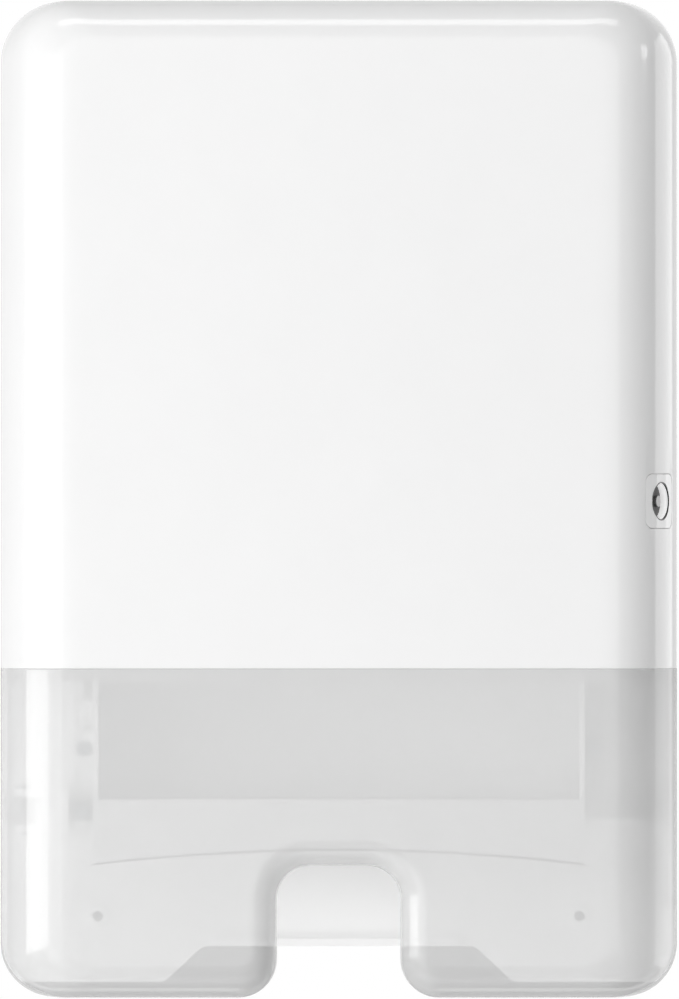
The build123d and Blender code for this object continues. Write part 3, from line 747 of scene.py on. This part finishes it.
@dataclass
class CoverPiece:
    """What every new piece has in common: where it rides and how it is painted."""

    form: CoverForm
    slot: Slot
    finish: Material

    def dress(self, piece: Object, body: Body = Body.COVER) -> Object:
        """Settle a piece, paint it, let it ride on its body and report it.

        Args:
            piece: Piece with its modifiers.
            body: Moving body it rides on.

        Returns:
            The same piece.
        """
        settle(piece)
        piece.data.materials.clear()
        piece.data.materials.append(self.finish)
        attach(piece, body.value)
        triangles = sum(len(face.vertices) - 2 for face in piece.data.polygons)
        log.info("%s: %d triangles", piece.name, triangles)
        return piece

    def holed_plate(
        self,
        name: str,
        place: Place,
        outline: np.ndarray,
        hole: np.ndarray,
        heights: tuple[float, float | np.ndarray],
        edge: float,
        body: Body = Body.COVER,
    ) -> None:
        """Plate with one hole and rounded edges.

        Its section runs round the wall between the hole and the outline, so the skin is a grid
        of four rings that closes on itself.

        Args:
            name: Name of the piece.
            place: Where it lies.
            outline: Outer outline.
            hole: The hole's outline, point for point with the outer one.
            heights: Its lower and upper height over the place. The upper one may differ from
                point to point, and is then given as a pair of rows: outline first, then hole.
            edge: Width of its rounded edges.
            body: Moving body it rides on.
        """
        low, high = heights
        outline_high, hole_high = np.broadcast_to(high, (2, len(outline)))
        rings = [
            place.lift(hole, low),
            place.lift(outline, low),
            place.lift(outline, outline_high),
            place.lift(hole, hole_high),
        ]
        piece = piece_of(name, *ringed(rings))
        round_edges(piece, edge)
        self.dress(piece, body)

    def knuckle(self, name: str, level: float) -> None:
        """Hinge knuckle: a ring round the pin whose arm reaches into the cover's left wall.

        The outline is a circle joined to a bar; a ray from the pin meets it once, so it is
        worked out as the larger of the circle's and the bar's distance in each direction.

        Args:
            name: Name of the piece.
            level: Height of its middle in the frame.
        """
        ring_r, bore_r, half_height, edge = 0.005, 0.00205, 0.006, 0.0003
        arm_half, arm_length, points_round = 0.004, 0.0085, 72
        pin_from_side, pin_from_wall = 0.010, 0.018
        turn = unit_circle(points_round)
        sideways = np.maximum(np.abs(turn[:, 1]), TINY)
        outwards = np.maximum(-turn[:, 0], TINY)
        arm = np.minimum(arm_half / sideways, arm_length / outwards)
        reach = np.maximum(ring_r, np.where(turn[:, 0] < 0, arm, 0.0))
        pin = Vector((pin_from_side - self.form.width / 2, -pin_from_wall, level))
        place = Place(pin, RIGHT, BACK, UP)
        heights = (-half_height, half_height)
        outline = reach[:, None] * turn
        self.holed_plate(name, place, outline, bore_r * turn, heights, edge)

    def boss(self, name: str, places: Sequence[Place], radius: float, length: float) -> None:
        """Row of screw bosses, each a turned ring that flares into the wall it stands on.

        Args:
            name: Name of the piece.
            places: Foot of each boss, with its height pointing along it.
            radius: Outer radius.
            length: Length of the boss.
        """
        flare, sink, hollow, chamfer, bore_chamfer = 0.0008, 0.0012, 0.35, 0.0003, 0.0002
        bore, points_round = SCREW_BORE_R, 32
        section = [
            (bore, -sink),
            (radius + flare, -sink),
            (radius + flare * hollow, flare * hollow),
            (radius, flare),
            (radius, length - chamfer),
            (radius - chamfer, length),
            (bore + bore_chamfer, length),
            (bore, length - bore_chamfer),
        ]
        turn = unit_circle(points_round)
        points, faces = [], []
        for place in places:
            rings = [place.lift(r * turn, height) for r, height in section]
            ring_points, ring_faces = ringed(rings)
            faces.append(ring_faces + sum(len(done) for done in points))
            points.append(ring_points)
        piece = piece_of(name, np.concatenate(points), np.concatenate(faces))
        self.dress(piece)


@dataclass
class WhiteCover(CoverPiece):
    """White upper cover: its skin with the lock opening, collar, bosses and upper knuckle."""

    lock: LockPlace
    wall: float = 0.003
    split: float = -0.07545
    face_length: float = 0.0255
    face_height: float = 0.0245
    face_r: float = 0.004
    body_length: float = 0.0225
    body_height: float = 0.0215
    body_r: float = 0.002
    seat_depth: float = 0.0034
    opening_above: float = 0.003
    opening_below: float = 0.012
    collar_wall: float = 0.003
    collar_play: float = 0.00025
    collar_depth: float = 0.008
    collar_sink: float = 0.0006
    collar_edge: float = 0.0003
    guide_screws_along: float = 0.0195
    guide_screw_spacing: float = 0.025
    guide_boss_top: float = 0.014
    guide_boss_r: float = 0.0036
    tab_boss_r: float = 0.004
    tab_boss_length: float = 0.003
    knuckle_level: float = 0.1405
    columns_in_top: int = 16
    edge_row: float = 0.003

    def skin(self) -> tuple[np.ndarray, list[list[int]]]:
        """Outer skin: a path up the left side, over the top and down the right, at every level.

        At each depth behind the front the path is half a rounded rectangle. Its half width,
        top and corner radius follow from the level's inset and the top's quarter-round roll.

        Returns:
            The points and the faces.
        """
        form = self.form
        behind, inset, _ = form.levels()
        half = (form.width / 2 - inset)[:, None]
        top = (form.height / 2 - rolled(behind, form.top_roll_r))[:, None]
        radius = form.corner(form.top_corner_r, inset)[:, None]
        rise = form.down_side(self.edge_row)
        across, up = arc(0, 90, form.columns_in_corner)
        level = np.linspace(1, 0, self.columns_in_top // 2 + 1)[None, 1:]
        corner_x, corner_z = half - radius, top - radius
        x = [half + 0 * rise, corner_x + radius * across, corner_x * level]
        side_z = self.split + (corner_z - self.split) * rise
        z = [side_z, corner_z + radius * up, top + 0 * level]
        grid = form.mirrored(x, z, behind)
        rows, cols, _ = grid.shape
        faces = grid_quads(rows, cols).tolist() + [list(range(cols))]
        return grid.reshape(-1, 3), faces

    def half_body(self) -> Vector:
        """Half the length and height of the hole for the lock's body."""
        return Vector((self.body_length, self.body_height)) / 2

    def opening(self) -> Object:
        """Tool for the lock's opening: a seat for its face, then the smaller hole of its body.

        Returns:
            A closed solid.
        """
        place = self.lock.place
        seat_half = Vector((self.face_length, self.face_height)) / 2
        seat = rounded_outline(-seat_half, seat_half, self.face_r)
        body = rounded_outline(-self.half_body(), self.half_body(), self.body_r)
        levels = (
            (seat, self.opening_above),
            (seat, -self.seat_depth),
            (body, -self.seat_depth),
            (body, -self.opening_below),
        )
        rings = [place.lift(outline, height) for outline, height in levels]
        return piece_of("lock_opening", *capped(rings))

    def build(self) -> None:
        """Build the skin, collar, bosses and knuckle, and let the skin stand for the node."""
        cover = piece_of("white_cover", *self.skin())
        thicken(cover, self.wall)
        settle(cover)
        cut_out(cover, self.opening())
        round_edges(cover, SKIN_EDGE)
        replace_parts(self.dress(cover), "cover_shell")
        self.collar()
        lock, along = self.lock, self.guide_screws_along
        foot = float(lock.height_of(along, self.wall))
        foot_point = lock.point + lock.along * along + lock.out * foot
        places = [
            Place(foot_point + UP * step * self.guide_screw_spacing, lock.along, UP, -lock.out)
            for step in (-1, 0, 1)
        ]
        self.boss("latch_guide_bosses", places, self.guide_boss_r, self.guide_boss_top + foot)
        places = [
            Place(Vector((x, self.wall - self.form.depth, TAB_SCREW_Z)), -RIGHT, UP, BACK)
            for x in TAB_SCREWS_X
        ]
        self.boss("window_screw_bosses", places, self.tab_boss_r, self.tab_boss_length)
        self.knuckle("upper_knuckle", self.knuckle_level)

    def collar(self) -> None:
        """Collar round the lock's body inside the flank."""
        more = self.collar_wall - self.collar_play
        half = Vector((self.face_length / 2 + more, self.face_height / 2 + more))
        outline = rounded_outline(-half, half, self.face_r)
        hole = rounded_outline(-self.half_body(), self.half_body(), self.body_r)
        sunk = self.wall - self.collar_sink
        tops = [self.lock.height_of(ring[:, 0], sunk) for ring in (outline, hole)]
        sizes = ((-self.collar_depth, np.stack(tops)), self.collar_edge)
        self.holed_plate("lock_collar", self.lock.place, outline, hole, *sizes)


@dataclass
class LockTrim(CoverPiece):
    """Round trim of the key recess, on the lock's axis. Heights are measured from the flank."""

    lock: LockPlace
    ring_radii: tuple[float, float] = (0.0086, 0.0081)
    ring_depth: float = 0.00035
    ring_stand: float = 0.00005
    ring_edge: float = 0.00008
    sleeve_radii: tuple[float, float] = (0.0086, 0.0083)
    sleeve_heights: tuple[float, float] = (-0.0047, -0.0007)
    sleeve_edge: float = 0.00005
    cap_radii: tuple[float, float] = (0.0082, 0.0026)
    cap_heights: tuple[float, float] = (-0.0058, -0.0046)
    cap_edge: float = 0.0002
    points: int = 64

    def circles(self, radii: tuple[float, float]) -> tuple[np.ndarray, np.ndarray]:
        """Outer and inner circle of a trim."""
        turn = unit_circle(self.points)
        return radii[0] * turn, radii[1] * turn

    def mouth_ring(self) -> None:
        """Thin ring round the mouth, its face a touch proud of the flank's curve."""
        outline, hole = self.circles(self.ring_radii)
        tops = [self.lock.height_of(ring[:, 0], -self.ring_stand) for ring in (outline, hole)]
        sizes = ((float(min(tops[0])) - self.ring_depth, np.stack(tops)), self.ring_edge)
        self.holed_plate("mouth_ring", self.lock.place, outline, hole, *sizes)

    def sleeve(self) -> None:
        """Sleeve on the recess's wall, which glows with painted light."""
        circles = self.circles(self.sleeve_radii)
        sizes = (self.sleeve_heights, self.sleeve_edge)
        self.holed_plate("recess_sleeve", self.lock.place, *circles, *sizes)

    def barrel_cap(self) -> None:
        """Cap on the barrel round the key post: the dark floor of the recess, its dark grey being
        painted shade.
        """
        circles = self.circles(self.cap_radii)
        sizes = (self.cap_heights, self.cap_edge)
        self.holed_plate("barrel_cap", self.lock.place, *circles, *sizes, Body.LOCK)


@dataclass
class Window(CoverPiece):
    """Smoke-grey lower cover: its skin with the rolled towel cut-out, lap lip, tabs, knuckle."""

    wall: float = 0.0028
    split: float = -0.0755
    cutout_half: float = 0.028
    cutout_top: float = 0.0591
    cutout_top_r: float = 0.0157
    cutout_foot_r: float = 0.0165
    cutout_roll: float = 0.012
    cutout_draft: float = 0.032
    flange_depth: float = 0.028
    lip_offset: float = 0.00315
    lip_thickness: float = 0.00175
    lip_rise: float = 0.011
    root_overlap: float = 0.00005
    root_thickness: float = 0.0021
    root_drop: float = 0.006
    tab_half_width: float = 0.007
    tab_rise: float = 0.028
    tab_behind: float = 0.006
    tab_thickness: float = 0.0023
    tab_corner_r: float = 0.0015
    tab_edge: float = 0.0003
    knuckle_level: float = -0.1395
    columns_in_bottom: int = 14
    columns_in_foot: int = 12
    columns_in_rise: int = 8
    columns_in_arch: int = 16
    columns_in_top: int = 4
    rows_in_band: int = 4
    edge_row: float = 0.008

    def skin(self) -> tuple[np.ndarray, list[list[int]]]:
        """Outer skin with the cut-out rolled into it.

        At each depth the path comes down the side, round the bottom corner, along the bottom,
        round the foot of the cut-out, up its side and over to the middle, and the other half
        mirrors it. The cut-out is wider by the inset of its own quarter-round roll, and its
        flange narrows by the mould's draft. Behind the flange the path stops at the foot, and
        only the sides and bottom go on.

        Returns:
            The points and the faces.
        """
        form = self.form
        behind, inset, _ = form.levels([self.flange_depth])
        half = (form.width / 2 - inset)[:, None]
        bottom = (form.bottom + rolled(behind, form.bottom_roll_r))[:, None]
        radius = form.corner(form.bottom_corner_r, inset)[:, None]
        straight = self.flange_depth - self.cutout_roll
        draft = self.cutout_draft * np.clip(behind - self.cutout_roll, 0.0, straight)
        spread = (rolled(behind, self.cutout_roll) - draft)[:, None]
        foot_r = self.cutout_foot_r - spread
        foot_x = self.cutout_half + self.cutout_foot_r
        top = form.bottom + self.cutout_top + spread
        top_r = self.cutout_top_r + spread
        down = form.down_side(self.edge_row)
        across, up = arc(0, -90, form.columns_in_corner)
        along = np.linspace(0, 1, self.columns_in_bottom)[None, 1:-1]
        foot_across, foot_up = arc(-90, -180, self.columns_in_foot)
        rise = np.linspace(0, 1, self.columns_in_rise)[None, 1:-1]
        top_across, top_up = arc(0, 90, self.columns_in_arch)
        level = np.linspace(1, 0, self.columns_in_top)[None, 1:]
        corner_x, corner_z = half - radius, bottom + radius
        side_x = self.cutout_half + spread
        low_z, high_z = bottom + foot_r, top - top_r
        x = (
            half + 0 * down,
            corner_x + radius * across,
            corner_x + (foot_x - corner_x) * along,
            foot_x + foot_r * foot_across,
            side_x + 0 * rise,
            side_x - top_r + top_r * top_across,
            (side_x - top_r) * level,
        )
        z = (
            self.split + (corner_z - self.split) * down,
            corner_z + radius * up,
            bottom + 0 * along,
            low_z + foot_r * foot_up,
            low_z + (high_z - low_z) * rise,
            high_z + top_r * top_up,
            top + 0 * level,
        )
        grid = form.mirrored(x, z, behind)
        rows, cols, _ = grid.shape
        quads = grid_quads(rows, cols)
        row, col = np.divmod(np.arange(len(quads)), cols - 1)
        foot = down.size + across.size + along.size
        flange_rows = int(np.searchsorted(behind, self.flange_depth + TINY)) - 1
        kept = (row < flange_rows) | (col < foot) | (col >= cols - 1 - foot)
        return grid.reshape(-1, 3), quads[kept].tolist() + [list(range(cols))]

    def band(self, name: str, offset: float, thickness: float, low: float, high: float) -> None:
        """Band that follows the inside of the cover from one rear edge round to the other.

        Args:
            name: Name of the piece.
            offset: How far its outer face lies inside the cover's form.
            thickness: Its thickness.
            low: Height of its lower edge.
            high: Height of its upper edge.
        """
        rise = np.linspace(low, high, self.rows_in_band)
        heights = np.concatenate([rise, rise[::-1]])
        halves = (self.form.plan(offset), self.form.plan(offset + thickness))
        outer, inner = (np.concatenate([half, half[::-1] * (-1, 1)]) for half in halves)
        sides = (np.repeat(pair, rise.size, axis=0) for pair in np.stack([outer, inner], axis=1))
        rings = [np.column_stack([side, heights]) for side in sides]
        piece = piece_of(name, *capped(rings))
        self.dress(piece)

    def tabs(self) -> None:
        """Four screw tabs that stand up behind the white cover."""
        low = Vector((-self.tab_half_width, self.split - self.root_drop - TAB_SCREW_Z))
        high = Vector((self.tab_half_width, self.split + self.tab_rise - TAB_SCREW_Z))
        outline = rounded_outline(low, high, self.tab_corner_r)
        hole = SCREW_BORE_R * outline / np.linalg.norm(outline, axis=1, keepdims=True)
        sizes = ((0.0, self.tab_thickness), self.tab_edge)
        for number, x in enumerate(TAB_SCREWS_X, start=1):
            point = Vector((x, self.tab_behind - self.form.depth, TAB_SCREW_Z))
            place = Place(point, -RIGHT, UP, BACK)
            self.holed_plate(f"window_tab_{number}", place, outline, hole, *sizes)

    def build(self) -> None:
        """Build the skin, lip, tabs and knuckle, and let the skin stand for the node."""
        window = piece_of("grey_window", *self.skin())
        thicken(window, self.wall)
        round_edges(window, SKIN_EDGE)
        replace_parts(self.dress(window), "window")
        split, root_offset = self.split, self.wall - self.root_overlap
        self.band("lap_root", root_offset, self.root_thickness, split - self.root_drop, split)
        self.band("lap_lip", self.lip_offset, self.lip_thickness, split, split + self.lip_rise)
        self.tabs()
        self.knuckle("lower_knuckle", self.knuckle_level)


@dataclass
class TrayLip(CoverPiece):
    """Dark bead along the arched lower edge of the tray's front skirt: painted shade at the lip.
    """

    half_length: float = 0.1093
    side_height: float = -0.1629
    rise: float = 0.0065
    front: float = -0.0922
    rear: float = -0.0893
    low: float = -0.0003
    high: float = 0.0007
    steps: int = 61

    def build(self) -> None:
        """Build the bead.

        The arch is the circle through both feet and the crown: its radius is half of the rise
        plus the squared half length over twice the rise. Four rings of points, one for each
        edge of the bead's section, follow it.
        """
        x = np.linspace(-self.half_length, self.half_length, self.steps)
        radius = self.rise / 2 + self.half_length**2 / (2 * self.rise)
        arch = self.side_height + self.rise - radius + np.sqrt(radius**2 - x**2)
        section = (
            (self.front, self.low),
            (self.front, self.high),
            (self.rear, self.high),
            (self.rear, self.low),
        )
        edges = [np.stack([x, 0 * x + y, arch + z], axis=1) for y, z in section]
        rings = np.stack(edges, axis=1)
        piece = piece_of("tray_lip_bead", *capped(list(rings)))
        self.dress(piece, Body.BASE)


# --- Finishes of the nodes that keep their mesh ---
@dataclass
class CarriedNodes:
    """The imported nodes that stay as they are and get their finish."""

    nodes: dict[str, Object]
    made: dict[str, Material] = field(default_factory=dict)

    def material_of(self, finish: Plastic | Metal) -> Material:
        """Material of a finish, built once.

        Args:
            finish: The finish.

        Returns:
            The same material each time.
        """
        if finish.name not in self.made:
            self.made[finish.name] = finish.material()
        return self.made[finish.name]

    def dress(self) -> None:
        """Give every carried node the finish of its piece."""
        for finish, names in NODE_FINISHES.items():
            for name in names:
                materials = self.nodes[name].data.materials
                materials.clear()
                materials.append(self.material_of(finish))
                log.info("%s: %s", name, finish.name)


# --- Studio ---
@dataclass(frozen=True)
class Card:
    """Flat lamp: where it stands, what it faces, its size, and how bright it looks.

    A lamp that is for gloss alone makes a highlight and leaves the diffuse light as it is.
    """

    name: str
    bearing: float
    rise: float
    distance: float
    size: tuple[float, float]
    brightness: float
    target: tuple[float, float, float] = (0.0, -0.05, 0.0)
    gloss_alone: bool = False

    @property
    def power(self) -> float:
        """Power that gives the lamp its brightness: brightness times pi times its area."""
        return self.brightness * pi * self.size[0] * self.size[1]

    def build(self) -> None:
        """Add the lamp to the scene.

        The bearing is the angle from straight in front towards the right, the rise the angle
        over the horizon.
        """
        light = bpy.data.lights.new(self.name, "AREA")
        light.shape = "RECTANGLE"
        light.size, light.size_y = self.size
        light.energy = self.power
        lamp = bpy.data.objects.new(self.name, light)
        bpy.context.scene.collection.objects.link(lamp)
        bearing, rise = radians(self.bearing), radians(self.rise)
        away = Vector((sin(bearing) * cos(rise), -cos(bearing) * cos(rise), sin(rise)))
        lamp.location = Vector(self.target) + away * self.distance
        lamp.rotation_euler = (-away).to_track_quat("-Z", "Y").to_euler()
        lamp.visible_camera = False
        lamp.visible_diffuse = not self.gloss_alone


@dataclass
class Studio:
    """Pale floor, white surround for the camera, soft lamps and the camera itself."""

    view_height: float = 0.44805
    view_x: float = 0.00034
    view_z: float = -0.00025
    camera_distance: float = 12.0
    sensor: float = 36.0
    floor_drop: float = 1.1
    floor_half: float = 2.6
    floor_glow: float = 0.42
    ambient: float = 0.285
    # Grey of the surround that the camera sees through see-through plastic: painted shade for the
    # shadow behind the dispenser.
    backdrop_shade_behind_window: float = 0.22
    cards: tuple[Card, ...] = (
        Card("side_panel", -71.0, -4.0, 1.7, (1.66, 0.50), 4.8),
        Card("side_wing", -32.5, -6.0, 1.9, (0.84, 1.5), 1.65),
        Card("front_fill", 0.0, 4.0, 2.2, (1.9, 1.35), 1.12),
        Card("top_strip", 0.0, 58.0, 1.5, (1.9, 0.44), 3.45, (0.0, -0.09, 0.21)),
        Card("low_strip", 0.0, -57.0, 0.8, (1.4, 0.3), 1.0, (0.0, -0.05, -0.2)),
        Card("rim_card", 128.0, 0.0, 1.5, (0.95, 1.2), 1.3),
        Card("corner_spot", 79.0, 10.5, 1.7, (0.45, 0.44), 4.6, (0.135, -0.095, 0.2), True),
    )

    def camera(self) -> None:
        """Camera straight in front of the dispenser, as far off as a long lens stands.

        Half the sensor over the focal length is half the view's height over the distance.
        """
        data = bpy.data.cameras.new("front_camera")
        data.sensor_width = self.sensor
        data.lens = self.sensor * self.camera_distance / self.view_height
        data.clip_end = 4 * self.camera_distance
        camera = bpy.data.objects.new("front_camera", data)
        camera.location = (self.view_x, -self.camera_distance, self.view_z)
        camera.rotation_euler = (pi / 2, 0.0, 0.0)
        bpy.context.scene.collection.objects.link(camera)
        bpy.context.scene.camera = camera

    @staticmethod
    def seen(nodes: Nodes) -> NodeSocket:
        """Socket that is 1 for the camera, for reflections and through glass, 0 for light.

        It is 0 behind see-through plastic as well, so the surround seen through the smoked window
        is drawn darker: painted shade for the shadow behind the dispenser.

        Args:
            nodes: Nodes that it is added to.

        Returns:
            The output socket.
        """
        path = nodes.light_path()
        open_view = nodes.math("LESS_THAN", path["Transparent Depth"], 0.5)
        camera = nodes.math("MULTIPLY", path["Is Camera Ray"], open_view)
        direct = nodes.math("MAXIMUM", camera, path["Is Transmission Ray"])
        return nodes.math("MAXIMUM", direct, path["Is Glossy Ray"])

    def surround(self) -> None:
        """World that is white to the camera and in reflections, and a soft grey as light."""
        world = bpy.data.worlds.new("studio_surround")
        nodes = Nodes.of(world)
        camera = nodes.light_path()["Is Camera Ray"]
        unseen = nodes.between(camera, self.ambient, self.backdrop_shade_behind_window)
        strength = nodes.between(self.seen(nodes), unseen, 1.0)
        light = {"Color": WHITE, "Strength": strength}
        shader = nodes.add("ShaderNodeBackground", inputs=light)
        nodes.add("ShaderNodeOutputWorld", inputs={"Surface": shader.outputs[0]})
        bpy.context.scene.world = world

    def floor(self) -> None:
        """Plain pale floor well under the wall-hung part.

        It looks lighter to the camera by a plain strength, so that it stays pale in the soft
        light, and it keeps the part's shadow.
        """
        sides = np.array([(-1, -1), (1, -1), (1, 1), (-1, 1)]) * self.floor_half
        corners = np.column_stack([sides, np.full(len(sides), -self.floor_drop)])
        floor = piece_of("studio_floor", corners, [range(len(sides))])
        pale = FLOOR_PAINT.material()
        nodes = Nodes(pale.node_tree)
        shader = next(node for node in nodes.tree.nodes if node.type == "BSDF_PRINCIPLED")
        glow = nodes.math("MULTIPLY", self.seen(nodes), self.floor_glow)
        nodes.tree.links.new(glow, shader.inputs["Emission Strength"])
        floor.data.materials.append(pale)

    def build(self) -> None:
        """Build the floor, the surround, the lamps and the camera."""
        self.floor()
        self.surround()
        for card in self.cards:
            card.build()
        self.camera()
        bpy.context.scene.view_settings.view_transform = "Standard"


def main() -> None:
    """Build the cover pieces, dress the carried nodes, and set up the studio."""
    logging.basicConfig(level=logging.INFO, format="%(name)s %(message)s")
    form = CoverForm()
    white = WHITE_ABS.material()
    smoke = SMOKE_SAN.material()
    lock = LockPlace(form)
    WhiteCover(form, Slot.WHITE_COVER, white, lock).build()
    LockTrim(form, Slot.LOCK_METAL, RING_ACETAL.material(), lock).mouth_ring()
    LockTrim(form, Slot.WHITE_LOCK, SLEEVE_PAINTED_LIGHT.material(), lock).sleeve()
    Window(form, Slot.GREY_WINDOW, smoke).build()
    TrayLip(form, Slot.TRAY, LIP_PAINTED_SHADE.material()).build()
    carried = CarriedNodes(frame["nodes"])
    carried.dress()
    LockTrim(form, Slot.LOCK_METAL, carried.material_of(NICKEL_PAINTED_SHADE), lock).barrel_cap()
    Studio().build()


if __name__ == "__main__":
    main()
